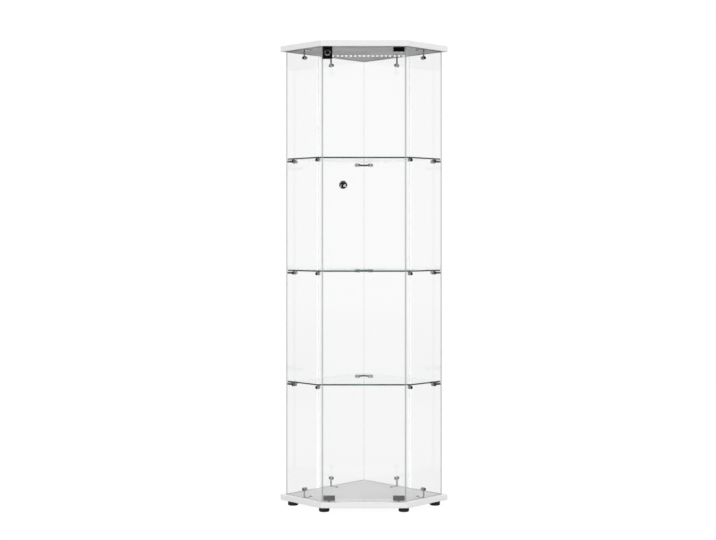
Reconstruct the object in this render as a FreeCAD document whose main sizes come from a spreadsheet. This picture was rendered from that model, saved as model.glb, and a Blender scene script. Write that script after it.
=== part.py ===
import FreeCAD, Part

import os

import Sketcher

# Corner curio cabinet: five-sided boards, glass sides, one pivoting glass door with a
# clamp-on lock, three glass shelves on round pegs and bent corner straps, LED tape.
# Millimetres. X runs to the right, Y to the back corner, Z up. The floor is Z = 0.

DRIVING_SIZES = [
    # overall form
    ("total_height", 1650, "floor to the top board's upper face"),
    ("back_side", 425, "board edge that stands against a wall"),
    ("flank_side", 211, "short board edge beside the door"),
    ("board_thick", 20, "top and bottom board"),
    ("board_round", 1.2, "rounding of the boards' long edges"),
    ("foot_height", 16, "floor to the bottom board"),
    ("foot_diameter", 37, "plastic foot"),
    ("foot_bevel", 1.6, "bevel round the foot's sole"),
    ("foot_inset", 28, "front and back foot to both board edges near them"),
    ("flank_foot_inset", 24, "side foot to the short board edge"),
    ("rear_foot_inset", 41, "side foot to the wall edge"),
    # fixed glass
    ("glass_thick", 5, "panes and door"),
    ("glass_arris", 0.6, "ground edge of every glass sheet"),
    ("pane_inset", 12.5, "board edge to the pane's outer face"),
    ("corner_gap", 0.3, "pane end to the inner corner line"),
    ("pane_play", 0.6, "pane's upper edge to the top board"),
    # shelves
    ("shelf_thick", 5, "glass shelf"),
    ("shelf_play", 1.2, "shelf edge to the side panes"),
    ("tape_play", 0.8, "shelf edge to the LEDs on the back panes"),
    ("shelf_setback", 38, "board front edge to shelf front edge"),
    ("first_peg", 398, "bottom board to the lowest pegs' axis"),
    ("shelf_pitch", 400, "one shelf to the next"),
    ("seat_play", 0.1, "peg to the shelf that it carries"),
    # flat bar of the straps and brackets
    ("bar_width", 7, "flat bar, wide side"),
    ("bar_thick", 1.5, "flat bar, thin side"),
    ("bar_bend", 2.5, "inner radius of a bend"),
    ("strap_reach", 37, "corner line to the strap's hole"),
    ("bracket_rise", 31, "board to the bracket's glass hole"),
    ("bracket_reach", 31, "pane to the bracket's board screw"),
    ("bar_tail", 5.5, "bar beyond the centre of its last hole"),
    ("flank_bracket", 92, "widest corner to the side pane's bracket"),
    ("rear_bracket", 174, "back corner to the back pane's bracket"),
    # through-glass fittings
    ("peg_diameter", 12.5, "round nut inside the glass"),
    ("peg_length", 9.5, "round nut inside the glass"),
    ("peg_bevel", 0.8, "bevel of the nuts' and screw heads' rims"),
    ("cap_diameter", 12, "screw head outside the glass"),
    ("cap_length", 3.2, "screw head outside the glass"),
    ("stud_diameter", 4, "screw shank through the glass"),
    ("stud_grip", 6, "shank length inside the nut past a strap"),
    ("glass_hole", 8, "hole in the glass"),
    ("thread_play", 0.05, "radial play of a screw in its hole"),
    ("front_peg", 25, "side pane's front end to the front peg"),
    # board screws
    ("screw_head", 7.5, "bracket screw head diameter"),
    ("screw_head_high", 2.2, "bracket screw head height"),
    ("screw_shank", 3.2, "bracket screw diameter"),
    ("screw_depth", 12, "bracket screw in the board"),
    ("foot_screw_head", 9, "foot screw head diameter"),
    ("foot_screw_high", 3, "foot screw head height"),
    ("foot_screw_shank", 4.2, "foot screw diameter"),
    ("foot_screw_depth", 13, "foot screw in the board"),
    ("foot_sink", 7, "depth of the foot's screw recess"),
    # door
    ("door_width", 285, "glass door"),
    ("door_setback", 12.5, "board front edge to the door's front face"),
    ("door_play", 1.8, "door edge to the side pane's end"),
    ("roof_play", 1.5, "top board to the door's highest clamp"),
    ("deck_play", 4, "bottom board to the door's lowest clamp"),
    ("clamp_width", 41, "pivot clamp along the door"),
    ("clamp_height", 17.5, "pivot clamp, up and down"),
    ("clamp_front", 3.5, "wall in front of the glass"),
    ("clamp_back", 4.5, "wall behind the glass"),
    ("clamp_bridge", 3, "wall over the glass edge"),
    ("clamp_bevel", 3.5, "bevel of the clamp's rear corners"),
    ("clamp_round", 0.8, "rounding of the clamp's front corners"),
    ("pad_thick", 1, "pressure pad behind the glass"),
    ("grub_diameter", 4, "set screw"),
    ("grub_proud", 0.6, "set screw end behind the clamp"),
    ("pin_diameter", 6, "pivot pin"),
    ("pin_reach", 7, "pivot pin in the board"),
    ("pin_play", 0.06, "radial play of the pin in its bush"),
    ("pin_end_play", 0.3, "pin end to the bush's floor"),
    ("bush_diameter", 10, "pivot bush"),
    ("bush_floor", 1, "closed end of the bush"),
    ("collar_diameter", 9.5, "shoulder under the lower clamps"),
    ("glide_play", 0.4, "that shoulder to the bottom board"),
    # pull knob
    ("pull_diameter", 30, "round pull"),
    ("pull_length", 24, "glass to the pull's rim"),
    ("pull_neck", 11, "neck diameter"),
    ("pull_base", 18, "foot of the pull"),
    ("pull_dish", 4, "depth of the pull's hollow face"),
    ("pull_lip", 3, "pull's rounded lip outside the hollow"),
    ("pull_offset", 72.5, "cabinet's middle to the pull"),
    ("pull_height", 1145, "floor to the pull"),
    ("washer_thick", 1, "washer between pull and glass"),
    # lock
    ("lock_width", 33.5, "lock case along the door"),
    ("lock_height", 43.5, "lock case, up and down"),
    ("lock_depth", 11.3, "lock case in front of the glass"),
    ("lock_back", 4.5, "wall behind the glass"),
    ("lock_back_high", 25, "height of the wall behind the glass"),
    ("lock_lap", 1.7, "case beyond the door's edge"),
    ("bezel_diameter", 22, "ring round the key plug"),
    ("bezel_proud", 4.2, "ring in front of the case"),
    ("plug_diameter", 12, "key plug"),
    ("plug_length", 10.7, "key plug"),
    ("key_width", 2.2, "key slot"),
    ("key_height", 8, "key slot"),
    ("key_depth", 5, "key slot"),
    ("drive_diameter", 3, "eccentric drive pin"),
    ("bolt_width", 16, "sliding bolt"),
    ("bolt_thick", 3, "sliding bolt"),
    ("bolt_throw", 7, "travel of the bolt for half a turn of the key"),
    ("bolt_play", 0.2, "play round the bolt"),
    ("bolt_wall", 1.1, "case wall between bolt and glass"),
    ("slot_play", 0.9, "play of the drive pin, up and down"),
    # LED tape
    ("tape_width", 10, "LED tape"),
    ("tape_thick", 0.6, "LED tape"),
    ("led_pitch", 16.2, "one LED to the next"),
    ("led_size", 5, "LED body, square"),
    ("led_thick", 1.6, "LED body"),
    ("tape_setback", 258, "board front edge to the tape's plane"),
    ("tape_margin", 3, "tape end to the boards"),
]

# Places that follow from the sizes above, in order: each may use the ones before it.
WORKED_OUT = [
    ("front_half", "(dims.back_side - dims.flank_side) / sqrt(2)"),
    ("wide_half", "dims.back_side / sqrt(2)"),
    ("depth", "(dims.back_side + dims.flank_side) / sqrt(2)"),
    ("pull_proud", "dims.pull_length + dims.washer_thick - dims.door_setback"),
    ("dish_half", "dims.pull_diameter / 2 - dims.pull_lip"),
    ("dish_radius", "(plan.dish_half ^ 2 + dims.pull_dish ^ 2) / (2 * dims.pull_dish)"),
    ("front_y", "(plan.pull_proud - plan.depth) / 2"),
    ("back_y", "plan.front_y + plan.depth"),
    ("wide_y", "plan.back_y - plan.wide_half"),
    ("deck_z", "dims.foot_height + dims.board_thick"),
    ("roof_z", "dims.total_height - dims.board_thick"),
    ("clear_height", "plan.roof_z - plan.deck_z"),
    ("inner_inset", "dims.pane_inset + dims.glass_thick"),
    ("inner_wide", "plan.wide_half - plan.inner_inset * sqrt(2)"),
    ("inner_back", "plan.back_y - plan.inner_inset * sqrt(2)"),
    ("back_run", "dims.back_side - 2 * plan.inner_inset"),
    ("door_half", "dims.door_width / 2"),
    ("flank_run", "(plan.inner_wide - plan.door_half - dims.door_play) * sqrt(2)"),
    ("door_front", "plan.front_y + dims.door_setback"),
    ("pivot_x", "plan.door_half - dims.clamp_width / 2"),
    ("pivot_y", "plan.door_front + dims.glass_thick / 2"),
    ("door_roof", "plan.roof_z - dims.roof_play"),
    ("door_deck", "plan.deck_z + dims.deck_play"),
    ("door_height", "plan.door_roof - plan.door_deck - 2 * dims.clamp_bridge"),
    ("lock_x", "-plan.door_half - dims.lock_lap + dims.lock_width / 2"),
    ("drive_arm", "dims.bolt_throw / 2"),
    ("rear_play", "dims.tape_thick + dims.led_thick + dims.tape_play"),
    ("shelf_wide", "plan.inner_wide - (dims.shelf_play + plan.rear_play) / sqrt(2)"),
    ("shelf_wide_y", "plan.wide_y + (dims.shelf_play - plan.rear_play) / sqrt(2)"),
    ("shelf_front", "plan.front_y + dims.shelf_setback"),
    ("shelf_half", "plan.shelf_wide - plan.shelf_wide_y + plan.shelf_front"),
    ("shelf_back", "plan.inner_back - plan.rear_play * sqrt(2)"),
    ("shelf_lift", "dims.peg_diameter / 2 + dims.seat_play"),
    ("tape_y", "plan.front_y + dims.tape_setback"),
    ("tape_x", "plan.inner_back - plan.tape_y"),
    ("roof_tape", "2 * (plan.tape_x - dims.tape_width / 2 - dims.tape_margin)"),
    ("wall_tape", "plan.clear_height - 2 * dims.tape_margin"),
]

LEVELS = ["lower", "middle", "upper"]
HALF_ROOT = "sqrt(0.5)"
ALONG_Z = FreeCAD.Vector(0, 0, 1)

doc = FreeCAD.newDocument("corner_cabinet")
sub_parts = []


# ---------------------------------------------------------------- sheets and helpers

def make_sheet(name, rows):
    """A sheet with one named cell per row."""
    sheet = doc.addObject("Spreadsheet::Sheet", name)
    for number, row in enumerate(rows, start=1):
        sheet.set(f"A{number}", row[0])
        sheet.set(f"B{number}", str(row[1]))
        sheet.setAlias(f"B{number}", row[0])
        if len(row) > 2:
            sheet.set(f"C{number}", row[2])
    doc.recompute()
    return sheet


dims = make_sheet("dims", DRIVING_SIZES)
plan = make_sheet("plan", [(alias, "=" + formula) for alias, formula in WORKED_OUT])


def value(expression):
    """The present value of an expression, for first guesses and counts."""
    return float(plan.evalExpression(expression))


def bind(thing, path, expression):
    thing.setExpression(path, expression)


def new_body(name, keep=True):
    """An empty body; one that is kept becomes a sub-part of its own."""
    body = doc.addObject("PartDesign::Body", name)
    body.Label = name
    if keep:
        sub_parts.append(body)
    return body


def place(thing, x="0", y="0", z="0", rotation=None):
    """Turn a body by a fixed rotation and tie its position to expressions."""
    thing.Placement = FreeCAD.Placement(FreeCAD.Vector(), rotation or FreeCAD.Rotation())
    bind(thing, "Placement.Base.x", x)
    bind(thing, "Placement.Base.y", y)
    bind(thing, "Placement.Base.z", z)


def turned(degrees):
    return FreeCAD.Rotation(ALONG_Z, degrees)


def new_sketch(body, name, role="XY_Plane", offset="0"):
    """A sketch on one of the body's own origin planes, moved along its normal."""
    planes = [f for f in body.Origin.OriginFeatures if f.Role == role]
    sketch = body.newObject("Sketcher::SketchObject", f"{body.Name}_{name}")
    sketch.AttachmentSupport = [(planes[0], "")]
    sketch.MapMode = "FlatFace"
    if offset != "0":
        bind(sketch, "AttachmentOffset.Base.z", offset)
    return sketch


def fix_ordinate(sketch, kind, axis, geometry, point, expression):
    """Hold one coordinate of a point: on an axis, or at a distance from the origin."""
    if expression == "0":
        sketch.addConstraint(Sketcher.Constraint("PointOnObject", geometry, point, axis))
        return
    number = sketch.addConstraint(
        Sketcher.Constraint(kind, -1, 1, geometry, point, value(expression)))
    bind(sketch, f"Constraints[{number}]", expression)


def fix_point(sketch, geometry, point, x, y):
    fix_ordinate(sketch, "DistanceX", -2, geometry, point, x)
    fix_ordinate(sketch, "DistanceY", -1, geometry, point, y)


def arc_between(start, end, radius, side):
    """An arc through two points, bulging to the left (1) or right (-1) of the chord."""
    chord = end - start
    half = chord.Length / 2
    normal = FreeCAD.Vector(-chord.y, chord.x, 0).normalize()
    rise = radius - (radius * radius - half * half) ** 0.5
    middle = (start + end) * 0.5 + normal * (rise * side)
    return Part.Arc(start, middle, end)


def draw_loop(sketch, corners):
    """A closed outline. A corner is (x, y), or (x, y, radius, side) where the edge that
    leads to it is an arc."""
    points = [FreeCAD.Vector(value(c[0]), value(c[1]), 0) for c in corners]
    ends = []
    for index, corner in enumerate(corners):
        start, end = points[index - 1], points[index]
        if len(corner) > 2:
            shape = arc_between(start, end, value(corner[2]), corner[3])
        else:
            shape = Part.LineSegment(start, end)
        edge = sketch.addGeometry(shape, False)
        starts_first = sketch.getPoint(edge, 1).isEqual(start, 1e-6)
        ends.append((edge, 1, 2) if starts_first else (edge, 2, 1))
        if len(corner) > 2:
            number = sketch.addConstraint(
                Sketcher.Constraint("Radius", edge, value(corner[2])))
            bind(sketch, f"Constraints[{number}]", corner[2])
    for index, corner in enumerate(corners):
        edge, _, last = ends[index]
        following, first, _ = ends[(index + 1) % len(corners)]
        sketch.addConstraint(
            Sketcher.Constraint("Coincident", edge, last, following, first))
        fix_point(sketch, edge, last, corner[0], corner[1])


def draw_circle(sketch, x, y, diameter):
    centre = FreeCAD.Vector(value(x), value(y), 0)
    edge = sketch.addGeometry(Part.Circle(centre, ALONG_Z, value(diameter) / 2), False)
    fix_point(sketch, edge, 3, x, y)
    number = sketch.addConstraint(Sketcher.Constraint("Diameter", edge, value(diameter)))
    bind(sketch, f"Constraints[{number}]", diameter)


def draw_box(sketch, left, low, right, high):
    draw_loop(sketch, [(left, low), (right, low), (right, high), (left, high)])


def pad(body, sketch, length, reverse=False, middle=False):
    feature = body.newObject("PartDesign::Pad", sketch.Name + "_pad")
    feature.Profile = sketch
    feature.Midplane = middle
    feature.Reversed = reverse
    bind(feature, "Length", length)
    return feature


def pocket(body, sketch, length=None, reverse=False, middle=False):
    """Cut to a depth, or right through where no depth is given."""
    feature = body.newObject("PartDesign::Pocket", sketch.Name + "_pocket")
    feature.Profile = sketch
    feature.Midplane = middle
    feature.Reversed = reverse
    if length is None:
        feature.Type = "ThroughAll"
    else:
        bind(feature, "Length", length)
    return feature


def revolve(body, sketch):
    feature = body.newObject("PartDesign::Revolution", sketch.Name + "_turn")
    feature.Profile = sketch
    feature.ReferenceAxis = (sketch, ["V_Axis"])
    feature.Angle = 360
    return feature


def dress(body, kind, size, chosen):
    """Chamfer or fillet the edges of the body's tip for which chosen(edge) is true."""
    doc.recompute()
    base = body.Tip
    names = [f"Edge{number}" for number, edge in enumerate(base.Shape.Edges, start=1)
             if chosen(edge)]
    feature = body.newObject("PartDesign::" + kind, f"{body.Name}_{kind.lower()}")
    feature.Base = (base, names)
    bind(feature, "Size" if kind == "Chamfer" else "Radius", size)
    return feature


def is_straight(edge):
    return edge.Curve.TypeId == "Part::GeomLine"


def is_level(edge):
    box = edge.BoundBox
    return is_straight(edge) and box.ZLength < 1e-6


def is_upright(edge):
    box = edge.BoundBox
    return is_straight(edge) and box.XLength < 1e-6 and box.YLength < 1e-6


def scatter(name, master, places):
    """One node that holds a copy of a master at every place (x, y, z, rotation)."""
    copies = []
    for number, (x, y, z, rotation) in enumerate(places, start=1):
        link = doc.addObject("App::Link", f"{name}_{number}")
        link.LinkedObject = master
        place(link, x, y, z, rotation)
        copies.append(link)
    group = doc.addObject("Part::Compound", name)
    group.Label = name
    group.Links = copies
    sub_parts.append(group)


# ---------------------------------------------------------------- places on the glass

class Direction:
    """A level direction at an odd multiple of 45 degrees."""

    def __init__(self, degrees):
        self.degrees = degrees
        self.x = 1 if degrees in (45, -45) else -1
        self.y = 1 if degrees in (45, 135) else -1

    def step(self, origin, distance):
        """The place a distance along this direction from origin, as expressions."""
        return (f"{origin[0]} + {self.x} * {HALF_ROOT} * ({distance})",
                f"{origin[1]} + {self.y} * {HALF_ROOT} * ({distance})")

    def rotation(self):
        """Turns Z to this direction."""
        return FreeCAD.Rotation(ALONG_Z, FreeCAD.Vector(self.x, self.y, 0))


BACK_LEFT = Direction(135)
BACK_RIGHT = Direction(45)
FRONT_LEFT = Direction(-135)
FRONT_RIGHT = Direction(-45)

BACK_CORNER = ("0", "plan.inner_back")
LEFT_CORNER = ("-plan.inner_wide", "plan.wide_y")
RIGHT_CORNER = ("plan.inner_wide", "plan.wide_y")

# Each pane: the corner that its fittings are measured from, the way along the glass from
# there, and the way into the cabinet.
PANES = {
    "left_side": (LEFT_CORNER, FRONT_RIGHT, BACK_RIGHT),
    "right_side": (RIGHT_CORNER, FRONT_LEFT, BACK_LEFT),
    "left_back": (BACK_CORNER, FRONT_LEFT, FRONT_RIGHT),
    "right_back": (BACK_CORNER, FRONT_RIGHT, FRONT_LEFT),
}

# Each corner strap: its corner and the two ways along the glass, the first turned a
# quarter to the left giving the second.
CORNERS = {
    "left": (LEFT_CORNER, FRONT_RIGHT, BACK_RIGHT),
    "back": (BACK_CORNER, FRONT_LEFT, FRONT_RIGHT),
    "right": (RIGHT_CORNER, BACK_LEFT, FRONT_LEFT),
}


def peg_height(level):
    return f"plan.deck_z + dims.first_peg + {level} * dims.shelf_pitch"


def bracket_distance(pane):
    return "dims.flank_bracket" if pane.endswith("side") else "dims.rear_bracket"


def bracket_heights():
    return ["plan.deck_z + dims.bracket_rise", "plan.roof_z - dims.bracket_rise"]


# ---------------------------------------------------------------- boards and feet

def draw_board_outline(sketch):
    draw_loop(sketch, [
        ("-plan.front_half", "plan.front_y"),
        ("plan.front_half", "plan.front_y"),
        ("plan.wide_half", "plan.wide_y"),
        ("0", "plan.back_y"),
        ("-plan.wide_half", "plan.wide_y"),
    ])


def foot_places():
    side_x = "plan.wide_half - (dims.flank_foot_inset + dims.rear_foot_inset) / sqrt(2)"
    side_y = "plan.wide_y + (dims.flank_foot_inset - dims.rear_foot_inset) / sqrt(2)"
    front_x = "plan.front_half + dims.foot_inset - dims.foot_inset * sqrt(2)"
    front_y = "plan.front_y + dims.foot_inset"
    return {
        "front_left_foot": (f"-({front_x})", front_y),
        "front_right_foot": (front_x, front_y),
        "left_foot": (f"-({side_x})", side_y),
        "right_foot": (side_x, side_y),
        "back_foot": ("0", "plan.back_y - dims.foot_inset * sqrt(2)"),
    }


def bracket_screw_places():
    places = []
    for pane, (corner, along, inward) in PANES.items():
        seat = along.step(corner, bracket_distance(pane))
        places.append(inward.step(seat, "dims.bracket_reach"))
    return places


def board(name, z):
    body = new_body(name)
    outline = new_sketch(body, "outline")
    draw_board_outline(outline)
    pad(body, outline, "dims.board_thick")
    dress(body, "Fillet", "dims.board_round", is_level)
    place(body, z=z)
    return body


def cut_round_holes(body, name, centres, diameter, depth, from_top):
    offset = "dims.board_thick" if from_top else "0"
    sketch = new_sketch(body, name, offset=offset)
    for x, y in centres:
        draw_circle(sketch, x, y, diameter)
    pocket(body, sketch, depth, reverse=not from_top)


def screw_bore(shank):
    return f"{shank} + 2 * dims.thread_play"


def make_boards():
    bush_bore = "dims.bush_diameter + 2 * dims.thread_play"
    bush_depth = "dims.pin_reach + dims.pin_end_play + dims.bush_floor + dims.thread_play"
    pivot = [("plan.pivot_x", "plan.pivot_y")]
    screw_depth = "dims.screw_depth + 1"

    top = board("top_board", "plan.roof_z")
    cut_round_holes(top, "bush_hole", pivot, bush_bore, bush_depth, False)
    cut_round_holes(top, "screw_holes", bracket_screw_places(),
                    screw_bore("dims.screw_shank"), screw_depth, False)
    strike = new_sketch(top, "strike")
    bolt_back = "plan.door_front - dims.bolt_wall"
    bolt_front = "plan.door_front - dims.bolt_wall - dims.bolt_thick - 2 * dims.bolt_play"
    draw_box(strike,
             "plan.lock_x - dims.bolt_width / 2 - 3 * dims.bolt_play",
             f"{bolt_front} - 2 * dims.bolt_play",
             "plan.lock_x + dims.bolt_width / 2 + 3 * dims.bolt_play",
             f"{bolt_back} + 2 * dims.bolt_play")
    pocket(top, strike, "dims.bolt_throw + 2", reverse=True)

    bottom = board("bottom_board", "dims.foot_height")
    cut_round_holes(bottom, "bush_hole", pivot, bush_bore, bush_depth, True)
    cut_round_holes(bottom, "screw_holes", bracket_screw_places(),
                    screw_bore("dims.screw_shank"), screw_depth, True)
    cut_round_holes(bottom, "foot_holes", list(foot_places().values()),
                    screw_bore("dims.foot_screw_shank"), "dims.foot_screw_depth + 1",
                    False)


def make_feet():
    rim = "dims.foot_diameter / 2"
    sink = "dims.foot_screw_head / 2 + 1"
    bore = "dims.foot_screw_shank / 2 + 0.3"
    for name, (x, y) in foot_places().items():
        body = new_body(name)
        profile = new_sketch(body, "profile", "XZ_Plane")
        draw_loop(profile, [
            (bore, "dims.foot_sink"),
            (sink, "dims.foot_sink"),
            (sink, "0"),
            (f"{rim} - dims.foot_bevel", "0"),
            (rim, "dims.foot_bevel"),
            (rim, "dims.foot_height"),
            (bore, "dims.foot_height"),
        ])
        revolve(body, profile)
        place(body, x, y)


# ---------------------------------------------------------------- glass

def sheet_holes(pane):
    """Fitting holes of one pane: distance from its corner, and height over the board."""
    distance = bracket_distance(pane)
    holes = [(distance, "dims.bracket_rise"),
             (distance, "plan.clear_height - dims.bracket_rise")]
    for level in range(len(LEVELS)):
        height = f"dims.first_peg + {level} * dims.shelf_pitch"
        holes.append(("dims.strap_reach", height))
        if pane.endswith("side"):
            holes.append(("plan.flank_run - dims.front_peg", height))
        else:
            holes.append(("plan.back_run - dims.strap_reach", height))
    return holes


def grind_edges(body):
    dress(body, "Chamfer", "dims.glass_arris", is_straight)


def pane(name):
    """A fixed pane. Its own X runs along the glass from the measuring corner."""
    corner, along, inward = PANES[name]
    flank = name.endswith("side")
    run = "plan.flank_run" if flank else "plan.back_run"
    end = run if flank else f"{run} - dims.corner_gap"
    body = new_body(name + "_glass")
    sketch = new_sketch(body, "sheet", "XZ_Plane")
    draw_box(sketch, "dims.corner_gap", "0", end, "plan.clear_height - dims.pane_play")
    for x, z in sheet_holes(name):
        draw_circle(sketch, x, z, "dims.glass_hole")
    # The sketch's normal is -Y. Outward is -Y or +Y, by which hand the pane has.
    quarter_left = (inward.degrees - along.degrees) % 360 == 90
    pad(body, sketch, "dims.glass_thick", reverse=not quarter_left)
    grind_edges(body)
    place(body, corner[0], corner[1], "plan.deck_z", turned(along.degrees))


def shelf(level):
    body = new_body(LEVELS[level] + "_shelf")
    sketch = new_sketch(body, "sheet")
    draw_loop(sketch, [
        ("-plan.shelf_half", "plan.shelf_front"),
        ("plan.shelf_half", "plan.shelf_front"),
        ("plan.shelf_wide", "plan.shelf_wide_y"),
        ("0", "plan.shelf_back"),
        ("-plan.shelf_wide", "plan.shelf_wide_y"),
    ])
    pad(body, sketch, "dims.shelf_thick")
    dress(body, "Chamfer", "dims.glass_arris", is_level)
    place(body, z=f"{peg_height(level)} + plan.shelf_lift")


def make_glass():
    for name in PANES:
        pane(name)
    for level in range(len(LEVELS)):
        shelf(level)


# ---------------------------------------------------------------- bent flat bar

def draw_bar_profile(sketch, first_leg, second_leg):
    """Plan of a bar bent a quarter turn at the origin, one leg along each axis."""
    thick = "dims.bar_thick"
    outer = "dims.bar_bend + dims.bar_thick"
    draw_loop(sketch, [
        (outer, "0", outer, -1),
        (first_leg, "0"),
        (first_leg, thick),
        (outer, thick),
        (thick, outer, "dims.bar_bend", 1),
        (thick, second_leg),
        ("0", second_leg),
        ("0", outer),
    ])


def corner_strap(level, side):
    """Flat bar bent round the inside of a glass corner, with a hole near each end."""
    corner, first, _ = CORNERS[side]
    body = new_body(f"{LEVELS[level]}_{side}_strap")
    reach = "dims.strap_reach + dims.bar_tail"
    profile = new_sketch(body, "profile")
    draw_bar_profile(profile, reach, reach)
    pad(body, profile, "dims.bar_width", middle=True)
    hole = screw_bore("dims.stud_diameter")
    for role in ("XZ_Plane", "YZ_Plane"):
        sketch = new_sketch(body, "hole_" + role[:2].lower(), role)
        draw_circle(sketch, "dims.strap_reach", "0", hole)
        pocket(body, sketch, "4 * dims.bar_thick", middle=True)
    place(body, corner[0], corner[1], peg_height(level), turned(first.degrees))


def wall_bracket(end, name):
    """Flat bar bent from the pane to the board. Its own X points into the cabinet."""
    corner, along, inward = PANES[name]
    body = new_body(f"{end}_{name}_bracket")
    profile = new_sketch(body, "profile", "XZ_Plane")
    draw_bar_profile(profile, "dims.bracket_reach + dims.bar_tail",
                     "dims.bracket_rise + dims.bar_tail")
    pad(body, profile, "dims.bar_width", middle=True)
    glass_hole = new_sketch(body, "glass_hole", "YZ_Plane")
    draw_circle(glass_hole, "0", "dims.bracket_rise", screw_bore("dims.stud_diameter"))
    pocket(body, glass_hole, "4 * dims.bar_thick", middle=True)
    board_hole = new_sketch(body, "board_hole")
    draw_circle(board_hole, "dims.bracket_reach", "0", screw_bore("dims.screw_shank"))
    pocket(body, board_hole, "4 * dims.bar_thick", middle=True)
    x, y = along.step(corner, bracket_distance(name))
    rotation = turned(inward.degrees)
    height = "plan.deck_z"
    if end == "top":
        rotation = rotation * FreeCAD.Rotation(FreeCAD.Vector(1, 0, 0), 180)
        height = "plan.roof_z"
    place(body, x, y, height, rotation)


def make_bars():
    for level in range(len(LEVELS)):
        for side in CORNERS:
            corner_strap(level, side)
    for end in ("bottom", "top"):
        for name in PANES:
            wall_bracket(end, name)


# ---------------------------------------------------------------- through-glass fittings

def peg_master():
    """Round nut inside the glass, from its seat along Z."""
    body = new_body("peg_master", keep=False)
    profile = new_sketch(body, "profile", "XZ_Plane")
    rim = "dims.peg_diameter / 2"
    bore = "dims.stud_diameter / 2 + dims.thread_play"
    bore_end = "dims.stud_grip + dims.bar_thick + 0.5"
    draw_loop(profile, [
        (bore, "0"),
        (rim, "0"),
        (rim, "dims.peg_length - dims.peg_bevel"),
        (f"{rim} - dims.peg_bevel", "dims.peg_length"),
        ("0", "dims.peg_length"),
        ("0", bore_end),
        (bore, bore_end),
    ])
    revolve(body, profile)
    return body


def cap_master():
    """Screw from outside: domed head below Z = 0, shank above it through the glass."""
    body = new_body("cap_master", keep=False)
    profile = new_sketch(body, "profile", "XZ_Plane")
    rim = "dims.cap_diameter / 2"
    shank = "dims.stud_diameter / 2"
    tip = "dims.glass_thick + dims.bar_thick + dims.stud_grip"
    draw_loop(profile, [
        ("0", "-dims.cap_length"),
        (f"{rim} - dims.peg_bevel", "-dims.cap_length"),
        (rim, "-dims.cap_length + dims.peg_bevel"),
        (rim, "0"),
        (shank, "0"),
        (shank, tip),
        ("0", tip),
    ])
    revolve(body, profile)
    return body


def board_screw_master():
    """Pan-head screw: head above Z = 0, shank down through the bar into the board."""
    body = new_body("board_screw_master", keep=False)
    profile = new_sketch(body, "profile", "XZ_Plane")
    head = "dims.screw_head / 2"
    shank = "dims.screw_shank / 2"
    tip = "-dims.bar_thick - dims.screw_depth"
    draw_loop(profile, [
        ("0", tip),
        (shank, f"{tip} + 2"),
        (shank, "0"),
        (head, "0"),
        (head, "dims.screw_head_high / 2"),
        (f"{head} - 1.2", "dims.screw_head_high"),
        ("0", "dims.screw_head_high"),
    ])
    revolve(body, profile)
    return body


def foot_screw_master():
    """Screw in the foot's recess, head below Z = 0 and shank up into the board."""
    body = new_body("foot_screw_master", keep=False)
    profile = new_sketch(body, "profile", "XZ_Plane")
    head = "dims.foot_screw_head / 2"
    shank = "dims.foot_screw_shank / 2"
    tip = "dims.foot_height - dims.foot_sink + dims.foot_screw_depth"
    draw_loop(profile, [
        ("0", "-dims.foot_screw_high"),
        (f"{head} - 1", "-dims.foot_screw_high"),
        (head, "-dims.foot_screw_high + 1"),
        (head, "0"),
        (shank, "0"),
        (shank, f"{tip} - 2"),
        ("0", tip),
    ])
    revolve(body, profile)
    return body


def fitting_places(seats, lift):
    """Places along the inward direction of each seat (x, y, z, inward)."""
    places = []
    for (x, y), z, inward in seats:
        px, py = inward.step((x, y), lift)
        places.append((px, py, z, inward.rotation()))
    return places


def strap_seats():
    seats = []
    for level in range(len(LEVELS)):
        for corner, first, second in CORNERS.values():
            for along, inward in ((first, second), (second, first)):
                seats.append((along.step(corner, "dims.strap_reach"),
                              peg_height(level), inward))
    return seats


def front_seats():
    seats = []
    for level in range(len(LEVELS)):
        for name in ("left_side", "right_side"):
            corner, along, inward = PANES[name]
            seats.append((along.step(corner, "plan.flank_run - dims.front_peg"),
                          peg_height(level), inward))
    return seats


def bracket_seats():
    seats = []
    for name, (corner, along, inward) in PANES.items():
        for height in bracket_heights():
            seats.append((along.step(corner, bracket_distance(name)), height, inward))
    return seats


def make_fittings():
    peg = peg_master()
    cap = cap_master()
    outer_face = "-dims.glass_thick"
    scatter("strap_pegs", peg, fitting_places(strap_seats(), "dims.bar_thick"))
    scatter("strap_screws", cap, fitting_places(strap_seats(), outer_face))
    scatter("front_pegs", peg, fitting_places(front_seats(), "0"))
    scatter("front_peg_screws", cap, fitting_places(front_seats(), outer_face))
    scatter("bracket_nuts", peg, fitting_places(bracket_seats(), "dims.bar_thick"))
    scatter("bracket_glass_screws", cap, fitting_places(bracket_seats(), outer_face))

    upside_down = FreeCAD.Rotation(FreeCAD.Vector(1, 0, 0), 180)
    board_screws = []
    for x, y in bracket_screw_places():
        board_screws.append((x, y, "plan.deck_z + dims.bar_thick", FreeCAD.Rotation()))
        board_screws.append((x, y, "plan.roof_z - dims.bar_thick", upside_down))
    scatter("bracket_board_screws", board_screw_master(), board_screws)
    foot_screws = [(x, y, "dims.foot_sink", FreeCAD.Rotation())
                   for x, y in foot_places().values()]
    scatter("foot_screws", foot_screw_master(), foot_screws)


# ---------------------------------------------------------------- door

def make_door_glass():
    body = new_body("door_glass")
    sketch = new_sketch(body, "sheet", "XZ_Plane")
    draw_box(sketch, "-plan.door_half", "0", "plan.door_half", "plan.door_height")
    draw_circle(sketch, "-dims.pull_offset",
                "dims.pull_height - plan.door_deck - dims.clamp_bridge",
                "dims.glass_hole")
    pad(body, sketch, "dims.glass_thick", reverse=True)
    grind_edges(body)
    place(body, y="plan.door_front", z="plan.door_deck + dims.clamp_bridge")


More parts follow.
